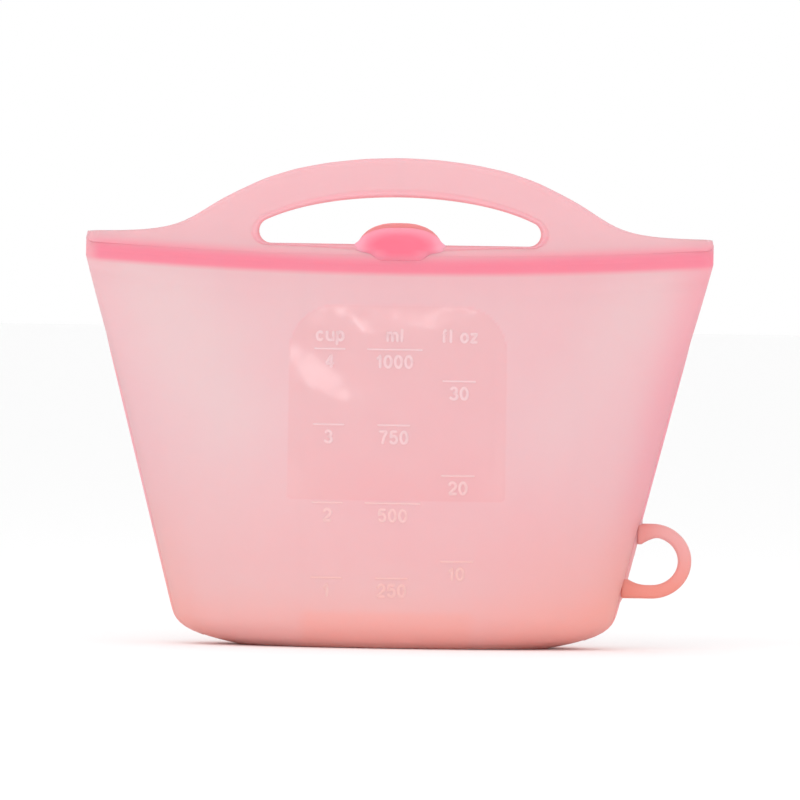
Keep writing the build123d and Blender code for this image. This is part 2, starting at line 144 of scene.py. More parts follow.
def quads(rows, cols, start=0, flip=False, wrap=False):
    """Faces of a grid, as an array of four corners each."""
    r, c = np.meshgrid(np.arange(rows - 1), np.arange(cols if wrap else cols - 1), indexing="ij")
    a = r * cols + c
    b = r * cols + (c + 1) % cols
    f = np.stack([a, b, b + cols, a + cols], -1).reshape(-1, 4) + start
    return f[:, ::-1] if flip else f


def make_mesh(name, points, faces, material, normals=None, values=None):
    """A smooth mesh object from points in mm, with float attributes for its material."""
    mesh = bpy.data.meshes.new(name)
    mesh.from_pydata((np.asarray(points) * MM).tolist(), [], [list(f) for f in faces])
    mesh.validate()
    mesh.polygons.foreach_set("use_smooth", np.ones(len(mesh.polygons), bool))
    for key, value in (values or {}).items():
        layer = mesh.attributes.new(key, "FLOAT", "POINT")
        layer.data.foreach_set("value", np.asarray(value, np.float32).ravel())
    mesh.materials.append(material)
    mesh.update()
    if normals is not None:
        mesh.normals_split_custom_set_from_vertices(np.asarray(normals).reshape(-1, 3).tolist())
    obj = bpy.data.objects.new(name, mesh)
    bpy.context.scene.collection.objects.link(obj)
    return obj


def bend_with_wall(obj):
    """Bakes the piece's placement into its mesh."""
    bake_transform(obj)


# ------------------------------------------------------------------ materials
def linear(rgb):
    """Linear colour of 0-255 screen values."""
    c = np.array(rgb, float) / 255
    return tuple(np.where(c <= 0.04045, c / 12.92, ((c + 0.055) / 1.055) ** 2.4)) + (1.0,)


def silicone(name, pale, deep, warm, roughness, clear, bump=0.06, polish=None):
    """Translucent silicone: pale where thin, deep where thick, warm towards the base; the deep and warm
    amounts also carry painted shade, a painted highlight and painted warm bounce light.
    """
    mat = bpy.data.materials.new(name)
    mat.use_nodes = True
    nt = mat.node_tree
    nt.nodes.clear()
    new = nt.nodes.new
    link = nt.links.new
    out = new("ShaderNodeOutputMaterial")
    body = new("ShaderNodeBsdfPrincipled")
    glow = new("ShaderNodeBsdfTranslucent")
    see = new("ShaderNodeBsdfTransparent")
    thick = new("ShaderNodeAttribute")
    thick.attribute_name = "deep"
    low = new("ShaderNodeAttribute")
    low.attribute_name = "warm"
    place = new("ShaderNodeTexCoord")
    cloud = new("ShaderNodeTexNoise")
    cloud.inputs["Scale"].default_value = 38.0
    cloud.inputs["Detail"].default_value = 4.0
    link(place.outputs["Object"], cloud.inputs["Vector"])
    mottle = new("ShaderNodeMapRange")
    mottle.inputs["To Min"].default_value = -0.055
    mottle.inputs["To Max"].default_value = 0.055
    link(cloud.outputs["Fac"], mottle.inputs["Value"])
    amount = new("ShaderNodeMath")
    amount.operation = "ADD"
    amount.use_clamp = True
    link(thick.outputs["Fac"], amount.inputs[0])
    link(mottle.outputs["Result"], amount.inputs[1])
    first = new("ShaderNodeMix")
    first.data_type = "RGBA"
    first.inputs["A"].default_value = linear(pale)
    first.inputs["B"].default_value = linear(deep)
    link(amount.outputs[0], first.inputs["Factor"])
    second = new("ShaderNodeMix")
    second.data_type = "RGBA"
    second.inputs["B"].default_value = linear(warm)
    link(low.outputs["Fac"], second.inputs["Factor"])
    link(first.outputs["Result"], second.inputs["A"])
    colour = second.outputs["Result"]
    link(colour, body.inputs["Base Color"])
    link(colour, glow.inputs["Color"])
    body.inputs["IOR"].default_value = 1.41
    body.inputs["Roughness"].default_value = roughness
    body.inputs["Subsurface Weight"].default_value = 0.25
    body.inputs["Subsurface Radius"].default_value = (1.0, 0.45, 0.4)
    body.inputs["Subsurface Scale"].default_value = 0.003
    grain = new("ShaderNodeTexNoise")
    grain.inputs["Scale"].default_value = 1500.0
    grain.inputs["Detail"].default_value = 3.0
    link(place.outputs["Object"], grain.inputs["Vector"])
    wave = new("ShaderNodeTexNoise")
    wave.inputs["Scale"].default_value = 42.0
    wave.inputs["Detail"].default_value = 2.0
    link(place.outputs["Object"], wave.inputs["Vector"])
    ripple = new("ShaderNodeBump")
    ripple.inputs["Strength"].default_value = 0.35
    ripple.inputs["Distance"].default_value = 0.0014
    link(wave.outputs["Fac"], ripple.inputs["Height"])
    frost = new("ShaderNodeBump")
    frost.inputs["Strength"].default_value = bump
    frost.inputs["Distance"].default_value = 0.0002
    link(grain.outputs["Fac"], frost.inputs["Height"])
    link(ripple.outputs["Normal"], frost.inputs["Normal"])
    link(frost.outputs["Normal"], body.inputs["Normal"])
    link(frost.outputs["Normal"], glow.inputs["Normal"])
    if polish:
        window = new("ShaderNodeAttribute")
        window.attribute_name = "polish"
        gloss = new("ShaderNodeMapRange")
        gloss.inputs["To Min"].default_value = roughness
        gloss.inputs["To Max"].default_value = polish
        link(window.outputs["Fac"], gloss.inputs["Value"])
        link(gloss.outputs["Result"], body.inputs["Roughness"])
        grain_left = new("ShaderNodeMapRange")
        grain_left.inputs["To Min"].default_value = bump
        grain_left.inputs["To Max"].default_value = 0.0
        link(window.outputs["Fac"], grain_left.inputs["Value"])
        link(grain_left.outputs["Result"], frost.inputs["Strength"])
    lit = new("ShaderNodeMixShader")
    lit.inputs["Fac"].default_value = 0.3
    link(body.outputs["BSDF"], lit.inputs[1])
    link(glow.outputs["BSDF"], lit.inputs[2])
    mix = new("ShaderNodeMixShader")
    mix.inputs["Fac"].default_value = clear
    link(lit.outputs["Shader"], mix.inputs[1])
    link(see.outputs["BSDF"], mix.inputs[2])
    link(mix.outputs["Shader"], out.inputs["Surface"])
    return mat


HANDLE_DEEP = 0.20
# WARM is the coral towards the base: partly thicker silicone, partly painted shade and painted warm bounce
# light.
PALE, DEEP, WARM = (240, 211, 213), (255, 145, 168), (253, 188, 180)
wall_skin = silicone("frosted_wall", PALE, DEEP, WARM, 0.5, 0.10, polish=0.09)
zip_skin = silicone("dense_closure", (246, 206, 210), (255, 150, 174), WARM, 0.45, 0.03)
tab_skin = silicone("dense_tab", (254, 184, 202), (254, 126, 152), (240, 164, 146), 0.42, 0.02)
ring_skin = silicone("dense_ring", (235, 189, 191), (234, 160, 156), (239, 153, 136), 0.42, 0.05)
mark_skin = silicone("raised_marks", (251, 221, 224), (251, 216, 219), (253, 206, 200), 0.45, 0.1)
floor_skin = silicone("dense_floor", (246, 190, 186), (244, 172, 166), (244, 160, 146), 0.5, 0.05)


# ------------------------------------------------------------------ front and back walls
def window_mask(x, z):
    """1 inside the polished window, 0 outside it, with a soft thin border."""
    round_top, round_low = 17.0, 2.0
    middle = (WINDOW_LOW + WINDOW_HIGH) / 2
    half = (WINDOW_HIGH - WINDOW_LOW) / 2
    r = np.where(z > middle, round_top, round_low)
    qx = np.abs(x) - (WINDOW_HALF - r)
    qz = np.abs(z - middle) - (half - r)
    d = np.hypot(np.maximum(qx, 0), np.maximum(qz, 0)) + np.minimum(np.maximum(qx, qz), 0) - r
    return 1 - smooth(d, -0.45, 0.45)


def closure_row(x, z):
    """Height above the floor that a place would have in the middle of the mouth."""
    return z - (closure(ZIP_LOW, x) - ZIP_LOW)


def closure_band(row, x):
    """How far the dense closure shows through, from 0 to 1; it is broader and softer at the sides."""
    lift = 0.5 + 0.9 * smooth(np.abs(x), 20, 80)
    band = smooth(row, ZIP_LOW - 1.1, ZIP_LOW + 1.3)
    band = band * (1 - smooth(row, ZIP_MIDDLE - 0.9 + lift, ZIP_HIGH + 1.7 + lift))
    return band * (1 - np.where(x < 0, 0.55, 0.12) * smooth(np.abs(x), 107.0, 112.5))


def wall_values(x, z, face):
    """How deep and how warm the silicone looks over a wall, with painted light in both: a painted sheen
    along the diagonals, painted shade on the right side, and warmth towards the base that is partly thicker
    silicone and partly painted shade and painted bounce light.
    """
    a, _, _ = level(z)
    row = z - smile(z, x)
    across = np.abs(x) / a
    edge = smooth(across, 0.80, 1.0)
    band = closure_band(row, x)
    above = smooth(row, ZIP_LOW, ZIP_HIGH)
    glow = 0.04 * (1 - smooth(ZIP_LOW - row, 0, 16))
    middle = 0.05 * np.exp(-((x / 46) ** 2)) * smooth(z, 10, 60)
    belly = 0.07 * np.exp(-((x / 60) ** 2)) * smooth(z, 18, 34) * (1 - smooth(z, 50, 90))
    # partly painted shade: the side edges are deeper, and much more so on the right, away from the key light
    edge_tint_and_right_shade = np.where(x < 0, 0.06, 0.26) * edge**1.6 * smooth(z, 8, 60)
    sheen = 0.09 * np.exp(-(((across - 0.62 - 0.20 * (z - 80) / 60) / 0.16) ** 2)) * smooth(z, 40, 90)
    # the sheen taken off is a painted highlight; the last term is painted shade, the right half deeper away
    # from the key light
    deep = 0.08 + glow + middle + belly + edge_tint_and_right_shade - sheen + 0.09 * smooth(x / a, 0, 0.7)
    deep = deep * (1 - above) + HANDLE_DEEP * above
    deep = deep * (1 - band) + 0.92 * band
    # warmer towards the base: partly thicker silicone, partly painted shade and painted warm bounce light
    warm = 0.50 * (1 - smooth(z, 0, 26)) + 0.26 * (1 - smooth(z, 12, 85))
    warm = warm + 0.25 * edge * (1 - smooth(z, 18, 70))
    # painted shade: the lower right half warmer, away from the key light
    warm = warm + 0.36 * smooth(x / a, 0.2, 0.9) * (1 - smooth(z, 8, 60))
    warm = warm + 0.24 * (1 - smooth(np.abs(x + 3), 27, 33)) * (1 - smooth(z, 11.5, 14.5)) * (face == FRONT)
    polish = window_mask(x, z) if face == FRONT else np.zeros_like(x)
    warm = warm + 0.12 * polish
    deep = deep + 0.05 * polish + 0.40 * polish * (1 - polish)
    return np.clip(deep, 0, 1), np.clip(warm, 0, 1), polish


def half_wall_grid():
    """Outside of the right half of a wall, rows by columns, with the last column of each strip."""
    v = np.linspace(0, 1, 190)
    body = ZIP_LOW * (0.35 * v**2.2 + 0.65 * v)
    rows = np.concatenate([body, np.linspace(ZIP_LOW, ZIP_HIGH + 1.0, 25)[1:]])[:, None]
    _, b, n = level(rows)
    middle = np.linspace(0, 1, CENTRE_COLUMNS)[None]
    inner = np.linspace(0, 1, INNER_COLUMNS)[None]
    outer = np.linspace(0, 1, OUTER_COLUMNS)[None]
    least = level(rows)[0]
    first = np.minimum(STRIPS[CENTRE][0], 0.45 * least)
    second = np.minimum(STRIPS[INNER][0], 0.75 * least)
    start = np.arcsin(np.clip(second / least, 0, 1) ** (n / 2))
    turn = start + (math.pi / 2 - start) * outer
    tail = least * np.sin(turn) ** (2 / n)
    x = np.concatenate([first * middle, (first + (second - first) * inner)[:, 1:], tail[:, 1:]], 1)
    z = rows + smile(rows, x)
    x = x + (level(z)[0] - least) * smooth(x, second, least)
    z = rows + smile(rows, x)
    a = level(z)[0]
    y = b * (1 - np.clip(x / a, 0, 1) ** n) ** (1 / n)
    y[:, -1] = 0
    ends = (CENTRE_COLUMNS - 1, CENTRE_COLUMNS + INNER_COLUMNS - 2, x.shape[1] - 1)
    return np.stack([x, -y, z], -1), ends


def wall(name, face, nodes):
    """A front or back wall: a thin shell in five strips."""
    half, (first, second, last) = half_wall_grid()
    normal = grid_normals(half)
    normal[:, 0, 0] = 0
    normal[:, -1, 1] = 0
    normal /= np.linalg.norm(normal, axis=-1, keepdims=True)
    flip = np.array([-1, 1, 1])
    outer = np.concatenate([half[:, :0:-1] * flip, half], 1)
    normal = np.concatenate([normal[:, :0:-1] * flip, normal], 1)
    inner = outer - normal * WALL
    strips = (
        ("left_outer", LEFT, OUTER, 0, last - second),
        ("left_inner", LEFT, INNER, last - second, last - first),
        ("centre", RIGHT, CENTRE, last - first, last + first),
        ("right_inner", RIGHT, INNER, last + first, last + second),
        ("right_outer", RIGHT, OUTER, last + second, 2 * last),
    )
    for label, side, strip, low, high in strips:
        out, way, back = outer[:, low : high + 1], normal[:, low : high + 1], inner[:, low : high + 1]
        rows, cols = out.shape[:2]
        points = np.concatenate([out.reshape(-1, 3), back.reshape(-1, 3)])
        normals = np.concatenate([way.reshape(-1, 3), -way.reshape(-1, 3)])
        top = (rows - 1) * cols + np.arange(cols - 1)
        rim = np.stack([top, top + 1, top + 1 + rows * cols, top + rows * cols], -1)
        faces = np.concatenate([quads(rows, cols), quads(rows, cols, rows * cols, flip=True), rim])
        deep, warm, polish = wall_values(points[:, 0], points[:, 2], face)
        if face == BACK:
            points[:, 1] *= -1
            normals = normals * np.array([1, -1, 1])
            faces = faces[:, ::-1]
        values = {"deep": deep, "warm": warm, "polish": polish}
        obj = make_mesh(name + "_" + label, points, faces, wall_skin, normals, values)
        bend_with_wall(obj)
        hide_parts(*nodes)


wall("front_wall", FRONT, ["front_upper_wall", "front_window", "lower_wall"])
wall("back_wall", BACK, ["back_upper_wall", "lower_wall"])


# ------------------------------------------------------------------ floor
def floor_plate():
    """Flat oval floor with a rounded rim and a slightly raised middle."""
    around, steps = 160, 26
    turn = np.linspace(0, 2 * math.pi, around, endpoint=False)
    share = np.linspace(1, 0.02, steps)
    a, b, _ = level(0.0)
    under, over = [], []
    for s in share:
        lift = np.full(around, FLOOR_LIFT * (1 - smooth(s, 0.8, 0.93)))
        under.insert(0, np.stack([a * s * np.cos(turn), b * s * np.sin(turn), lift], -1))
        rise = np.full(around, FLOOR + FLOOR_CROWN * (1 - s**2))
        grow = 1 + (level(FLOOR)[0] - WALL - a) / a * s
        over.append(np.stack([a * s * grow * np.cos(turn), b * s * grow * np.sin(turn), rise], -1))
    p = np.array(under + over)
    faces = quads(len(p), around, wrap=True)
    n = len(p) * around
    points = np.concatenate([p.reshape(-1, 3), [[0, 0, FLOOR_LIFT], [0, 0, FLOOR + FLOOR_CROWN]]])
    low = [[(c + 1) % around, c, n] for c in range(around)]
    last = n - around
    high = [[last + c, last + (c + 1) % around, n + 1] for c in range(around)]
    faces = [list(f) for f in faces] + low + high
    r = np.hypot(points[:, 0] / a, points[:, 1] / b)
    values = {"deep": 0.3 + 0.5 * smooth(r, 0.7, 1.0), "warm": np.full(len(points), 0.7)}
    obj = make_mesh("floor_plate", points, faces, floor_skin, None, values)
    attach(obj, "pouch")
    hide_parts("base_floor")


floor_plate()


# ------------------------------------------------------------------ side seams
def loop_section(half_x, half_y, count=16, power=2.6):
    """Rounded section as offsets along and across, anticlockwise."""
    t = np.linspace(0, 2 * math.pi, count, endpoint=False)
    c, s = np.cos(t), np.sin(t)
    u = half_x * np.sign(c) * np.abs(c) ** (2 / power)
    w = half_y * np.sign(s) * np.abs(s) ** (2 / power)
    return u, w


def swept(path, across, sizes, count=20, power=2.6):
    """Tube of rounded sections along a path; across is each section's sideways direction."""
    path, across = np.asarray(path, float), np.asarray(across, float)
    along = np.gradient(path, axis=0)
    along /= np.linalg.norm(along, axis=1, keepdims=True)
    third = np.cross(along, across)
    rows = []
    for p, a, t, (half_a, half_t) in zip(path, across, third, sizes):
        u, w = loop_section(half_a, half_t, count, power)
        rows.append(p + u[:, None] * a + w[:, None] * t)
    p = np.array(rows)
    n = len(p) * count
    points = np.concatenate([p.reshape(-1, 3), [path[0], path[-1]]])
    faces = [list(f) for f in quads(len(p), count, wrap=True)]
    faces += [[(c + 1) % count, c, n] for c in range(count)]
    last = (len(p) - 1) * count
    faces += [[last + c, last + (c + 1) % count, n + 1] for c in range(count)]
    return points, faces


def side_seam(name, side, node):
    """Thin rounded rib where the front and back walls meet."""
    z = np.linspace(3.0, 134.0, 90)
    a, _, _ = level(z)
    fade = smooth(z, 2.0, 16.0)
    path = np.stack([a + 0.1 - 0.35 * fade - 1.1 * smooth(z, 84, 133), 0 * z, z], -1)
    normal = np.tile([math.cos(SEAM_TILT), 0, -math.sin(SEAM_TILT)], (len(z), 1))
    ease = fade * (1 - 0.8 * smooth(z, 100, 133))
    sizes = [(0.3 + 0.7 * e, 0.4 + 0.6 * e) for e in ease]
    points, faces = swept(path, normal, sizes)
    points = np.asarray(points)
    # the right seam is deeper than the left as painted shade away from the key light; warmer towards the
    # base, partly painted shade as on the walls
    warm = 0.75 * (1 - smooth(points[:, 2], 5, 60))
    values = {"deep": (0.28 if side == LEFT else 0.42) + 0 * warm, "warm": warm}
    if side == LEFT:
        points[:, 0] *= -1
        faces = [f[::-1] for f in faces]
    obj = make_mesh(name, points, faces, zip_skin, None, values)
    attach(obj, "pouch")
    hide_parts(node)


side_seam("seam_rib_left", LEFT, "left_side_seam")
side_seam("seam_rib_right", RIGHT, "right_side_seam")


# ------------------------------------------------------------------ closure strips
# Upper half of the inner face: distance from the centre plane, height from the strip's middle.
RIB = ((0.15, 3.3), (0.15, 1.6), (-0.6, 1.15), (-1.5, 0.5))
CHANNEL = ((0.15, 3.3), (0.15, 1.72), (0.9, 1.25), (1.8, 0.7))


def strip_section(face):
    """Section of a closure strip: distance from the centre plane and height, from the middle."""
    outer = []
    for t in np.linspace(-math.pi / 2, math.pi / 2, 15):
        c, s = math.cos(t), math.sin(t)
        height = ZIP_HALF * math.copysign(abs(s) ** 0.55, s)
        outer.append((ZIP_RIM + (ZIP_OUT - ZIP_RIM) * abs(c) ** 0.55, height))
    upper = list(RIB if face == FRONT else CHANNEL)
    lower = [(out, -height) for out, height in reversed(upper)]
    return np.array(outer + upper + lower)


def strip_half(name, face, side, nodes):
    """Half of a closure strip, from the middle of the mouth into the fused corner."""
    section = strip_section(face)
    x = np.linspace(0, EAR_HALF - 0.6, 120)
    rows = []
    for at in x:
        mid = closure(ZIP_MIDDLE, at)
        squeeze = 1 - 0.25 * smooth(at, 84, 112)
        rows.append(np.stack([np.full(len(section), at), -section[:, 0] * squeeze, mid + section[:, 1]], -1))
    p = np.array(rows)
    faces = quads(len(p), len(section), wrap=True)
    points = p.reshape(-1, 3)
    n = len(section)
    cap = list(range((len(p) - 1) * n, len(p) * n))
    high = (points[:, 2] - closure(ZIP_MIDDLE, points[:, 0])) / ZIP_HALF
    deep = 0.86 - 0.42 * smooth(high, 0.35, 1.0) - 0.16 * smooth(-high, 0.55, 1.0)
    deep = deep - 0.15 * smooth(points[:, 0], 96, 113)
    values = {"deep": deep, "warm": np.zeros(len(points))}
    faces = [list(f) for f in faces] + [cap]
    if face == BACK:
        points = points * np.array([1, -1, 1])
        faces = [f[::-1] for f in faces]
    if side == LEFT:
        points = points * np.array([-1, 1, 1])
        faces = [f[::-1] for f in faces]
    obj = make_mesh(name, points, faces, zip_skin, None, values)
    bend_with_wall(obj)
    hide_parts(*nodes)


strip_half("front_closure_right", FRONT, RIGHT, ["front_zip_strip", "front_zip_rib"])
strip_half("front_closure_left", FRONT, LEFT, ["front_zip_strip", "front_zip_rib"])
strip_half("back_closure_right", BACK, RIGHT, ["back_zip_channel"])
strip_half("back_closure_left", BACK, LEFT, ["back_zip_channel"])


# ------------------------------------------------------------------ handles
HOLE_RIM, EDGE_RIM = 3.3, 2.4
HANDLE_SUNK = 1.0
ARCH = (
    (0, 175.6), (13, 175.1), (26, 173.6), (38, 171.2), (49, 167.6), (60, 162.3), (66, 159.0),
    (72, 155.0), (78, 151.6), (84, 149.7), (92, 148.5), (102, 148.0), (113, 147.9),
)


def arch_top(x):
    """Height of the handle's outer edge."""
    xs, zs = np.array(ARCH, float).T
    fine = np.linspace(0, 113, 453)
    raw = np.interp(np.abs(fine), xs, zs)
    kernel = np.exp(-0.5 * (np.arange(-24, 25) / 9.0) ** 2)
    padded = np.concatenate([raw[24:0:-1], raw, np.full(24, raw[-1])])
    return np.interp(np.abs(x), fine, np.convolve(padded, kernel / kernel.sum(), "valid"))


def resample(points, count):
    """Evenly spaced points along a polyline."""
    points = np.asarray(points, float)
    length = np.concatenate([[0], np.cumsum(np.linalg.norm(np.diff(points, axis=0), axis=1))])
    at = np.linspace(0, length[-1], count)
    return np.stack([np.interp(at, length, points[:, k]) for k in range(2)], -1)


def joined(runs, counts):
    """Runs of points resampled to their counts and put end to end, shared points once."""
    parts = [resample(run, count) for run, count in zip(runs, counts)]
    return np.concatenate(parts[:1] + [part[1:] for part in parts[1:]])


def hole_loop():
    """Right half of the hand hole's edge in three runs: bottom, end and top."""
    across, up = HOLE_HALF - HOLE_ROUND, HOLE_BOTTOM + HOLE_ROUND
    bottom = [(x, HOLE_BOTTOM) for x in np.linspace(0, across, 30)]
    t = np.linspace(-math.pi / 2, math.radians(68), 24)
    end = [(across + HOLE_ROUND * math.cos(k), up + HOLE_ROUND * math.sin(k)) for k in t]
    join = end[-1]
    x = np.linspace(join[0], 0, 50)
    s = x / join[0]
    fall = HOLE_TOP - join[1]
    top = [(a, HOLE_TOP - fall * (0.80 * b**2 + 0.20 * b**5)) for a, b in zip(x, s)]
    return bottom, end, top


def handle_half(name, face, side, nodes):
    """Half of a handle sheet with its beaded hand hole, down to the closure."""
    counts = (46, 40, 66)
    split_low, split_high = 60, 66.0
    inner = joined(hole_loop(), counts)
    edge = EAR_HALF - 0.05
    low = [(x, closure(ZIP_HIGH, x) - HANDLE_SUNK) for x in np.linspace(0, split_low, 40)]
    turn = [(x, closure(ZIP_HIGH, x) - HANDLE_SUNK) for x in np.linspace(split_low, edge, 40)]
    across, up = edge - EAR_ROUND, EAR_TOP - EAR_ROUND
    turn += [(edge, z) for z in np.linspace(closure(ZIP_HIGH, edge) - 0.6, up, 6)]
    arc = np.linspace(0.2, math.pi / 2, 7)
    turn += [(across + EAR_ROUND * math.cos(t), up + EAR_ROUND * math.sin(t)) for t in arc]
    turn += [(x, arch_top(x)) for x in np.linspace(edge - 1.6, split_high, 60)]
    high = [(x, arch_top(x)) for x in np.linspace(split_high, 0, 60)]
    outer = joined((low, turn, high), counts)
    span = np.linalg.norm(outer - inner, axis=1)
    near = np.array([0, 0.12, 0.35, 0.7, 1.15, 1.7, 2.2, 2.6, 2.95, HOLE_RIM])
    far = np.array([EDGE_RIM, 1.6, 1.0, 0.6, 0.3, 0.1, 0.0])
    middle = np.linspace(0, 1, 26)[1:-1]
    rings = []
    limit = np.minimum(span / 2, HOLE_RIM) / HOLE_RIM
    for d in near:
        rings.append(inner + (outer - inner) * (d * limit / span)[:, None])
    for m in middle:
        a = HOLE_RIM * limit / span
        b = 1 - np.minimum(EDGE_RIM, span * 0.3) / span
        rings.append(inner + (outer - inner) * (a + (b - a) * m)[:, None])
    for d in far:
        reach = np.minimum(EDGE_RIM, span * 0.3) * d / EDGE_RIM
        rings.append(inner + (outer - inner) * (1 - reach / span)[:, None])
    p = np.array(rings)
    to_hole = np.linalg.norm(p - inner[None], axis=2)
    to_edge = np.linalg.norm(p - outer[None], axis=2)
    round_hole = np.sqrt(np.clip(1 - (1 - np.clip(to_hole / 1.5, 0, 1)) ** 2, 0, 1))
    round_edge = np.sqrt(np.clip(1 - (1 - np.clip(to_edge / 0.9, 0, 1)) ** 2, 0, 1))
    bead = BEAD_PROUD * (1 - smooth(to_hole, 1.7, 3.1))
    centre = (SHEET_NEAR + SHEET_FAR) / 2
    half = (SHEET_FAR - SHEET_NEAR) / 2
    x, z = p[..., 0], p[..., 1]
    fused = smooth(x, 92, 104)
    lip = 0.28 * (1 - smooth(np.abs(to_edge - 1.3), 0.2, 1.0)) * smooth(z, 145.5, 146.5)
    row = closure_row(x, z)
    foot_swell = 1.35 * (1 - smooth(row, ZIP_HIGH - 1.3, ZIP_HIGH + 11))
    front = centre + (half + bead + lip + foot_swell) * round_hole * round_edge
    back = centre - (half + fused * SHEET_NEAR) * round_hole * round_edge
    rows, cols = x.shape
    outside = np.stack([x, -front, z], -1)
    inside = np.stack([x, -back, z], -1)
    points = np.concatenate([outside.reshape(-1, 3), inside.reshape(-1, 3)])
    count = rows * cols
    faces = np.concatenate([quads(rows, cols, flip=True), quads(rows, cols, count)])
    band = closure_band(row, x * side)
    deep = HANDLE_DEEP + 0.14 * (1 - smooth(to_hole, 2.2, 3.2)) + 0.30 * (1 - smooth(to_hole, 0.2, 0.9))
    deep = deep + 0.06 * (1 - smooth(to_edge, 0.3, 1.5)) * (z > 145)
    deep = deep + 0.10 * (1 - smooth(to_hole, 2.6, 3.6)) * (z < 148)
    deep = np.clip(deep * (1 - band) + 0.92 * band, 0, 1)
    rim = 0.5 * (1 - smooth(to_hole, 0.0, 0.8))
    values = {"deep": np.tile(deep.ravel(), 2), "warm": np.tile(rim.ravel(), 2)}
    faces = [list(f) for f in faces]
    if face == BACK:
        points = points * np.array([1, -1, 1])
        faces = [f[::-1] for f in faces]
    if side == LEFT:
        points = points * np.array([-1, 1, 1])
        faces = [f[::-1] for f in faces]
    obj = make_mesh(name, points, faces, wall_skin, None, values)
    weld(obj)
    bend_with_wall(obj)
    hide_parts(*nodes)


def weld(obj):
    """Joins points that lie on one another, so that the edges of a sheet are closed."""
    work = bmesh.new()
    work.from_mesh(obj.data)
    bmesh.ops.remove_doubles(work, verts=work.verts, dist=2e-6)
    work.to_mesh(obj.data)
    work.free()


handle_half("front_handle_right", FRONT, RIGHT, ["front_handle", "front_handle_bead"])
handle_half("front_handle_left", FRONT, LEFT, ["front_handle", "front_handle_bead"])
handle_half("back_handle_right", BACK, RIGHT, ["back_handle", "back_handle_bead"])
handle_half("back_handle_left", BACK, LEFT, ["back_handle", "back_handle_bead"])


# ------------------------------------------------------------------ fused corners
CAP_IN, CAP_HALF_X, CAP_HALF_Y = 2.9, 2.3, 1.9


def corner_cap(name, side, node):
    """Solid end of the mouth, where both halves are one."""
    foot, top = closure(ZIP_LOW, EAR_HALF) + 0.4, EAR_TOP - 0.5
    z = np.linspace(foot, top, 14)
    path = np.stack([np.full_like(z, EAR_HALF - CAP_IN), 0 * z, z], -1)
    ease = np.minimum(smooth(z, foot - 0.8, foot + 1.0), smooth(top - z, -0.8, 1.0))
    across = np.tile([1.0, 0, 0], (len(z), 1))
    sizes = [(CAP_HALF_X * e, CAP_HALF_Y * e) for e in ease]
    points, faces = swept(path, across, sizes, count=28, power=4.0)
    points = np.asarray(points)
    if side == LEFT:
        points[:, 0] *= -1
        faces = [f[::-1] for f in faces]
    row = closure_row(points[:, 0], points[:, 2])
    values = {"deep": HANDLE_DEEP + 0.5 * closure_band(row, points[:, 0]), "warm": np.zeros(len(points))}
    obj = make_mesh(name, points, faces, wall_skin, None, values)
    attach(obj, "pouch")
    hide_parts(node)


corner_cap("mouth_corner_left", LEFT, "left_ear")
corner_cap("mouth_corner_right", RIGHT, "right_ear")


# ------------------------------------------------------------------ pull tabs
TAB_TOP, TAB_NECK = 152.2, 146.0
TAB_FACE, TAB_PUFF, TAB_HOLLOW = 3.9, 2.0, 0.45
TAB_FOOT_BACK, TAB_BACK_STEP = 3.7, 3.1
TAB_EDGE = (
    (0, 138.5), (6.2, 138.5), (7.8, 138.9), (9.0, 139.8), (10.2, 140.7), (11.6, 141.25), (13.4, 141.5),
    (15.2, 142.0), (16.3, 143.0), (16.6, 144.4),
    (15.2, 145.2), (14.6, 146.0), (13.7, 147.4), (11.8, 149.3), (9.2, 150.8), (6.0, 151.8),
    (3.0, 152.15), (0, 152.2),
)


def tab_outline(top, count):
    """Edge of a pull tab: foot, flare at the rim of the hand hole, and dome."""
    right = resample(TAB_EDGE, 300)
    kernel = np.ones(13) / 13
    for k in range(2):
        right[:, k] = np.convolve(np.pad(right[:, k], 6, mode="edge"), kernel, "valid")
    over = np.maximum(right[:, 1] - TAB_NECK, 0)
    right[:, 1] -= over * (1 - (top - TAB_NECK) / (TAB_TOP - TAB_NECK))
    right[[0, -1], 0] = 0
    left = right[::-1][1:-1] * np.array([-1, 1])
    return resample(np.vstack([right, left, right[:1]]), count + 1)[:-1]


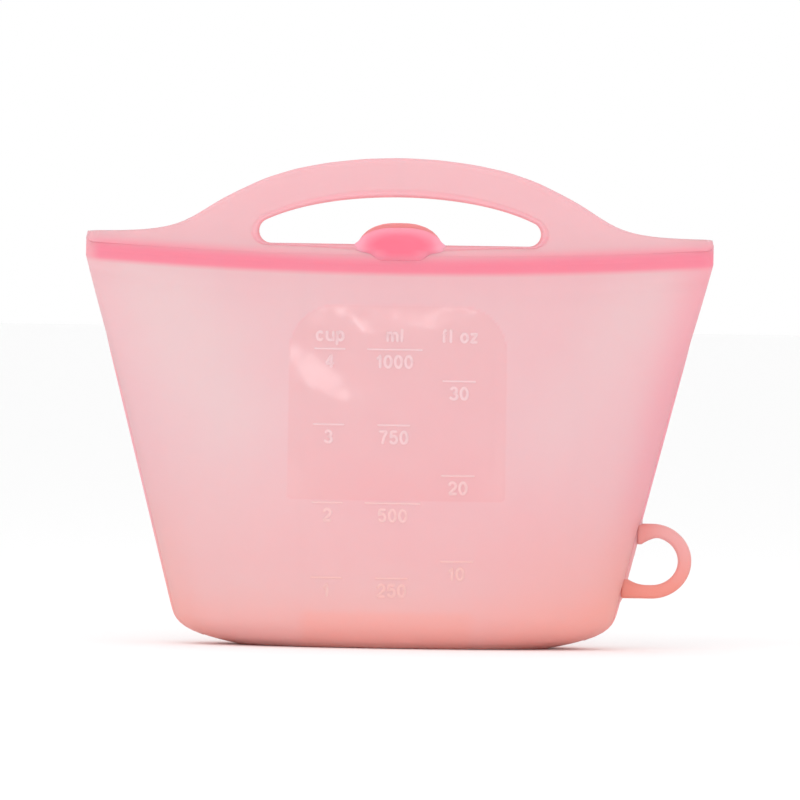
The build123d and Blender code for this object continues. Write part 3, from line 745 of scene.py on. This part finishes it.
def pull_tab(name, face, top, node, pad):
    """Thumb tab: a padded front face that rises out of the closure, and a thinner back."""
    around, steps = 120, 22
    edge = tab_outline(top, around)
    centre = np.array([0, TAB_MIDDLE])
    share = np.sin(np.linspace(0, math.pi / 2, steps))
    flat = centre + (edge[None] - centre) * share[:, None, None]
    r = np.repeat(share[:, None], around, 1)
    puff = (1 - r**3.4) ** 0.85
    hollow = TAB_HOLLOW * np.exp(-((flat[..., 0] / 9.5) ** 2) - ((flat[..., 1] - 145.2) / 3.2) ** 2)
    front = TAB_FACE + TAB_PUFF * puff - hollow
    z = flat[..., 1]
    free = smooth(z, 144.0, 145.2)
    back = TAB_FOOT_BACK - TAB_BACK_STEP * free
    back = np.where(free > 0.5, back + 1.4 * r**8, back)
    outside = np.stack([flat[..., 0], -front, z], -1)
    inside = np.stack([flat[..., 0], -back, z], -1)
    points = np.concatenate([outside.reshape(-1, 3), inside.reshape(-1, 3)])
    count = steps * around
    faces = [list(f) for f in quads(steps, around, wrap=True)]
    faces += [list(f) for f in quads(steps, around, count, flip=True, wrap=True)]
    last = (steps - 1) * around
    for c in range(around):
        here, after = last + c, last + (c + 1) % around
        faces.append([here, after, after + count, here + count])
    deep = 0.97 - 0.55 * smooth(r, 0.45, 1.0) - 0.25 * smooth(z, 145, 151)
    deep = deep - 0.35 * smooth(np.abs(flat[..., 0]), 10.5, 15.0)
    deep = np.clip(deep, 0, 1)
    warm = np.zeros_like(deep) if face == FRONT else 0.55 + 0 * deep
    values = {"deep": np.tile(deep.ravel(), 2), "warm": np.tile(warm.ravel(), 2)}
    if face == BACK:
        points = points * np.array([1, -1, 1])
        faces = [f[::-1] for f in faces]
    obj = make_mesh(name, points, faces, tab_skin, None, values)
    weld(obj)
    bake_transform(obj)
    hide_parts(node, pad)


pull_tab("front_tab_grip", FRONT, 150.5, "front_pull_tab", "front_tab_pad")
pull_tab("back_tab_grip", BACK, 152.2, "back_pull_tab", "back_tab_pad")


# ------------------------------------------------------------------ hanging ring
RING_SUNK, ROOT_REACH, RING_BEND = 1.4, 7.5, 4.8


def side_x(z):
    """Distance of the side seam's outer edge from the centre line at a height."""
    return SIDE_START + SIDE_SLOPE * z


def ring():
    """D-shaped ring that grows out of the right seam, and the thicker seam at its root."""
    cx, cz = RING_CENTRE
    wide, tall = RING_RADIUS
    high, low = cz + tall, cz - tall
    top = [(x, high) for x in np.linspace(side_x(high) - RING_SUNK, cx, 14)]
    arc = [(cx + wide * math.sin(t), cz + tall * math.cos(t)) for t in np.linspace(0, math.pi, 60)]
    base = [(x, low) for x in np.linspace(cx, side_x(low) - RING_SUNK, 18)]
    path = resample(top + arc[1:-1] + base, 110)
    along = np.gradient(path, axis=0)
    along /= np.linalg.norm(along, axis=1, keepdims=True)
    outward = np.stack([-along[:, 1], along[:, 0]], -1)
    root = (1 - np.clip((path[:, 0] - side_x(path[:, 1])) / ROOT_REACH, 0, 1)) ** 2
    root = root * smooth(np.abs(path[:, 1] - cz), 6, 10)
    middle = path - outward * (ROOT_FLARE * root)[:, None]
    points3 = np.stack([middle[:, 0], 0 * middle[:, 0], middle[:, 1]], -1)
    across = np.stack([outward[:, 0], 0 * outward[:, 0], outward[:, 1]], -1)
    sizes = [(RING_LIMB / 2 + ROOT_FLARE * k, RING_HALF_THICK + 0.3 * k) for k in root]
    points, faces = swept(points3, across, sizes, count=28, power=2.8)
    points = np.asarray(points)
    near = 1 - smooth(points[:, 0] - side_x(points[:, 2]), 0, 9)
    # the lower limb warmer towards the base, partly painted shade as on the walls
    low_part = 1 - smooth(points[:, 2], 17, 40)
    values = {"deep": 0.25 + 0.6 * near, "warm": 0.2 + 0.65 * low_part}
    obj = make_mesh("hanging_ring", points, faces, ring_skin, None, values)
    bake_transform(obj)
    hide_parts("hang_ring")
    z = np.linspace(15.5, 48.5, 50)
    fade = smooth(z, 15.5, 19.5) * (1 - smooth(z, 44.5, 48.5))
    path = np.stack([side_x(z) - 1.75, 0 * z, z], -1)
    normal = np.tile([math.cos(SEAM_TILT), 0, -math.sin(SEAM_TILT)], (len(z), 1))
    sizes = [(0.8 + 0.7 * f, 0.7 + 0.9 * f) for f in fade]
    points, faces = swept(path, normal, sizes, count=24, power=2.4)
    zed = np.asarray(points)[:, 2]
    # warmer towards the base, partly painted shade as on the walls
    values = {"deep": 0.30 + 0 * zed, "warm": 0.15 + 0.5 * (1 - smooth(zed, 15, 48))}
    obj = make_mesh("ring_root_rib", points, faces, wall_skin, None, values)
    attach(obj, "pouch")
    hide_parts("ring_root")


ring()


# ------------------------------------------------------------------ raised scale
def bow(cx, cy, rx, ry, start, stop, count=14):
    """Points along an elliptical arc, angles in degrees."""
    turn = [math.radians(t) for t in np.linspace(start, stop, count)]
    return [(cx + rx * math.cos(t), cy + ry * math.sin(t)) for t in turn]


GLYPHS = {
    "0": (1.0, [bow(0.5, 0.5, 0.5, 0.5, 0, 360, 28)]),
    "1": (0.55, [[(0, 0.72), (0.45, 0.86), (0.75, 1), (0.75, 0)]]),
    "2": (1.0, [bow(0.5, 0.7, 0.5, 0.3, 165, -25, 16) + [(0.0, 0.0), (1.0, 0.0)]]),
    "3": (1.0, [bow(0.48, 0.75, 0.44, 0.25, 150, -90, 16), bow(0.48, 0.26, 0.52, 0.26, 90, -155, 18)]),
    "4": (1.0, [[(0.75, 0), (0.75, 1), (0, 0.28), (1, 0.28)]]),
    "5": (1.0, [[(0.92, 1), (0.18, 1), (0.08, 0.52)] + bow(0.5, 0.32, 0.5, 0.32, 140, -150, 18)]),
    "7": (1.0, [[(0, 1), (1, 1), (0.62, 0.5), (0.4, 0)]]),
    "c": (0.95, [bow(0.5, 0.36, 0.5, 0.36, 45, 315, 18)]),
    "u": (0.95, [[(0, 0.72), (0, 0.3)] + bow(0.5, 0.3, 0.5, 0.3, 180, 350, 12), [(1, 0.72), (1, 0)]]),
    "p": (0.95, [bow(0.5, 0.36, 0.5, 0.36, 0, 360, 24), [(0, 0.7), (0, -0.36)]]),
    "m": (1.5, [
        [(0, 0.72), (0, 0)],
        [(0, 0.4)] + bow(0.25, 0.42, 0.25, 0.3, 170, 0, 10) + [(0.5, 0)],
        [(0.5, 0.4)] + bow(0.75, 0.42, 0.25, 0.3, 170, 0, 10) + [(1, 0)],
    ]),
    "l": (0.2, [[(0.5, 0), (0.5, 1)]]),
    "f": (0.55, [bow(0.8, 0.78, 0.45, 0.22, 80, 180, 8) + [(0.35, 0)], [(0, 0.66), (0.95, 0.66)]]),
    "o": (0.95, [bow(0.5, 0.36, 0.5, 0.36, 0, 360, 24)]),
    "z": (0.8, [[(0, 0.7), (1, 0.7), (0, 0.0), (1, 0.0)]]),
    " ": (0.35, []),
}
GLYPH_WIDE, GLYPH_TALL, GLYPH_GAP = 2.35, 4.1, 1.35
FIGURE_WIDE, LINE_WIDE, MARK_HIGH, MARK_SUNK = 0.60, 0.38, 0.17, 0.10
STROKE_STEP = 0.35


def text_strokes(x, z, text):
    """Strokes in the wall's X and Z of a text centred on a place."""
    widths = [GLYPH_WIDE * GLYPHS[c][0] for c in text]
    left = x - (sum(widths) + GLYPH_GAP * (len(text) - 1)) / 2
    found = []
    for letter, width in zip(text, widths):
        for stroke in GLYPHS[letter][1]:
            found.append([(left + u * width, z + (v - 0.5) * GLYPH_TALL) for u, v in stroke])
        left += width + GLYPH_GAP
    return found


def raised(strokes):
    """Rounded ridges on the front wall along strokes; a stroke of two points is a level line."""
    points, faces = [], []
    t = np.linspace(0, math.pi, 7)
    for stroke in strokes:
        line = np.asarray(stroke, float)
        wide = LINE_WIDE if len(line) == 2 and line[0, 1] == line[1, 1] else FIGURE_WIDE
        length = np.linalg.norm(np.diff(line, axis=0), axis=1).sum()
        line = resample(line, max(3, int(length / STROKE_STEP)))
        along = np.gradient(line, axis=0)
        along /= np.maximum(np.linalg.norm(along, axis=1, keepdims=True), 1e-9)
        side = np.stack([-along[:, 1], along[:, 0]], -1)
        ends = [line[0] - along[0] * wide * 0.8, line[-1] + along[-1] * wide * 0.8]
        line = np.vstack([ends[0], line, ends[1]])
        side = np.vstack([side[0], side, side[-1]])
        size = np.ones(len(line))
        size[[0, -1]] = 0.3
        start = sum(len(q) for q in points)
        for angle in t:
            flat = line + side * (math.cos(angle) * wide) * size[:, None]
            x, z = flat[:, 0], flat[:, 1]
            normal = wall_normal(x, z)
            lift = -MARK_SUNK + (MARK_HIGH + MARK_SUNK) * math.sin(angle) ** 0.8 * size
            base = np.stack([x, -wall_y(x, z), z], -1)
            points.append(base + normal * lift[:, None])
        faces.append(quads(len(t), len(line), start, flip=True))
    return np.concatenate(points), np.concatenate(faces)


def mark_piece(name, strokes, node, moves=True):
    """One column of the scale; the low marks are attached to the pouch, the others have their placement
    baked into the mesh.
    """
    points, faces = raised(strokes)
    # warmer towards the base, partly painted shade as on the walls
    warm = 0.8 * (1 - smooth(points[:, 2], 20, 90))
    values = {"deep": 0.2 + 0 * warm, "warm": warm}
    obj = make_mesh(name, points, faces, mark_skin, None, values)
    if moves:
        bend_with_wall(obj)
    else:
        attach(obj, "pouch")
    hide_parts(node)


HEADING_HEIGHT, NUMBER_DROP = 111.9, 4.35
CUP_X, ML_X, OZ_X = -24.5, -1.2, 22.0
TOP_LEVEL, MIDDLE_LEVEL, LOWER_LEVEL = 106.8, 79.8, 52.0


def column(x, heading, marks, reach):
    """Strokes of one column: heading, level lines and the numbers under them."""
    strokes = text_strokes(x, HEADING_HEIGHT, heading)
    for z, text, long_line in marks:
        half = reach[1] if long_line else reach[0]
        strokes.append([(x - half, z), (x + half, z)])
        strokes += text_strokes(x, z - NUMBER_DROP, text)
    return strokes


cup_levels = ((TOP_LEVEL, "4", False), (MIDDLE_LEVEL, "3", False), (LOWER_LEVEL, "2", False))
ml_levels = ((TOP_LEVEL, "1000", True), (MIDDLE_LEVEL, "750", False), (LOWER_LEVEL, "500", True))
cups = column(CUP_X, "cup", cup_levels, (5.4, 9.8))
mils = column(ML_X, "ml", ml_levels, (5.7, 9.8))
ounces = column(OZ_X, "fl oz", ((95.8, "30", False), (62.1, "20", False)), (5.8, 9.8))
lows = [[(-30.0, 25.2), (-19.0, 25.2)], [(-6.8, 25.2), (4.4, 25.2)], [(16.3, 31.5), (27.7, 31.5)]]
lows += text_strokes(CUP_X, 20.8, "1") + text_strokes(ML_X, 20.8, "250") + text_strokes(OZ_X, 27.1, "10")
mark_piece("cup_marks", cups, "cup_scale")
mark_piece("ml_marks", mils, "ml_scale")
mark_piece("fl_oz_marks", ounces, "fl_oz_scale")
mark_piece("low_marks", lows, "low_level_marks", moves=False)


# ------------------------------------------------------------------ stage, lights and camera
def plain(name, colour, roughness):
    """Plain opaque material for the studio."""
    mat = bpy.data.materials.new(name)
    mat.use_nodes = True
    shader = mat.node_tree.nodes["Principled BSDF"]
    shader.inputs["Base Color"].default_value = (*colour, 1)
    shader.inputs["Roughness"].default_value = roughness
    shader.inputs["Specular IOR Level"].default_value = 0.1
    return mat


bpy.ops.mesh.primitive_plane_add(size=30, location=(0, 0, -0.0002))
ground = bpy.context.object
ground.name = "studio_floor"
ground.data.materials.append(plain("studio_floor", (0.97, 0.97, 0.97), 1.0))

world = bpy.data.worlds.new("studio")
bpy.context.scene.world = world
world.use_nodes = True
world.node_tree.nodes["Background"].inputs["Color"].default_value = (1, 1, 1, 1)
world.node_tree.nodes["Background"].inputs["Strength"].default_value = 1.0


def lamp(name, place, aim, size, power, colour=(1, 1, 1)):
    """Soft rectangular light that faces a point."""
    data = bpy.data.lights.new(name, "AREA")
    data.shape = "RECTANGLE"
    data.size, data.size_y = size
    data.energy = power
    data.color = colour
    obj = bpy.data.objects.new(name, data)
    bpy.context.scene.collection.objects.link(obj)
    obj.location = place
    obj.rotation_mode = "QUATERNION"
    obj.rotation_quaternion = (Vector(aim) - Vector(place)).to_track_quat("-Z", "Y")
    return obj


middle = Vector((0, 0, 0.09))


def shine_from(x, z, far):
    """Place from which a lamp's reflection is seen at a place on the front wall."""
    normal = Vector(wall_normal(np.array([float(x)]), np.array([float(z)]))[0])
    seen = Vector((0, -1, 0))
    way = 2 * normal.dot(seen) * normal - seen
    return Vector((x * MM, -float(wall_y(x, z)) * MM, z * MM)) + way * far


lamp("patch_light", shine_from(-28, 120.5, 1.3), middle, (0.010, 0.05), 0.050)
lamp("streak_light", shine_from(20, 117.5, 1.3), middle, (0.018, 0.018), 0.028)
lamp("pane_light", shine_from(-31, 98, 1.3), middle, (0.085, 0.13), 0.25)
lamp("key", (-0.8, -1.2, 1.4), middle, (0.9, 0.9), 3.0)
lamp("base_light", (0, -0.75, 0.03), (0, 0, 0.012), (0.9, 0.05), 0.55)
lamp("fill", (0.9, -1.3, 0.35), middle, (1.0, 1.0), 2.4)
lamp("low_fill", (-0.9, -1.3, 0.15), middle, (1.0, 1.0), 2.8)
lamp("left_edge", (-1.3, 0.1, 0.25), middle, (0.3, 0.9), 1.1)
lamp("right_edge", (1.3, 0.1, 0.25), middle, (0.3, 0.9), 0.9)

cam_data = bpy.data.cameras.new("camera")
cam = bpy.data.objects.new("camera", cam_data)
bpy.context.scene.collection.objects.link(cam)
cam_data.lens = 500
cam_data.sensor_width = 36
SCALE = 0.36 * MM
distance = 800 * SCALE / cam_data.sensor_width * cam_data.lens
elevation = math.radians(0.8)
roll = math.radians(0.9)
aim = Vector((0.9 * MM, 0, 88.5 * MM))
back = Vector((0, -math.cos(elevation), math.sin(elevation)))
cam.location = aim + back * distance
turn = (-back).to_track_quat("-Z", "Y")
cam.rotation_mode = "QUATERNION"
cam.rotation_quaternion = turn @ Matrix.Rotation(roll, 4, "Z").to_quaternion()
cam_data.clip_start, cam_data.clip_end = 0.05, 50
bpy.context.scene.camera = cam
bpy.context.scene.view_settings.view_transform = "Standard"
bpy.context.scene.view_settings.look = "None"
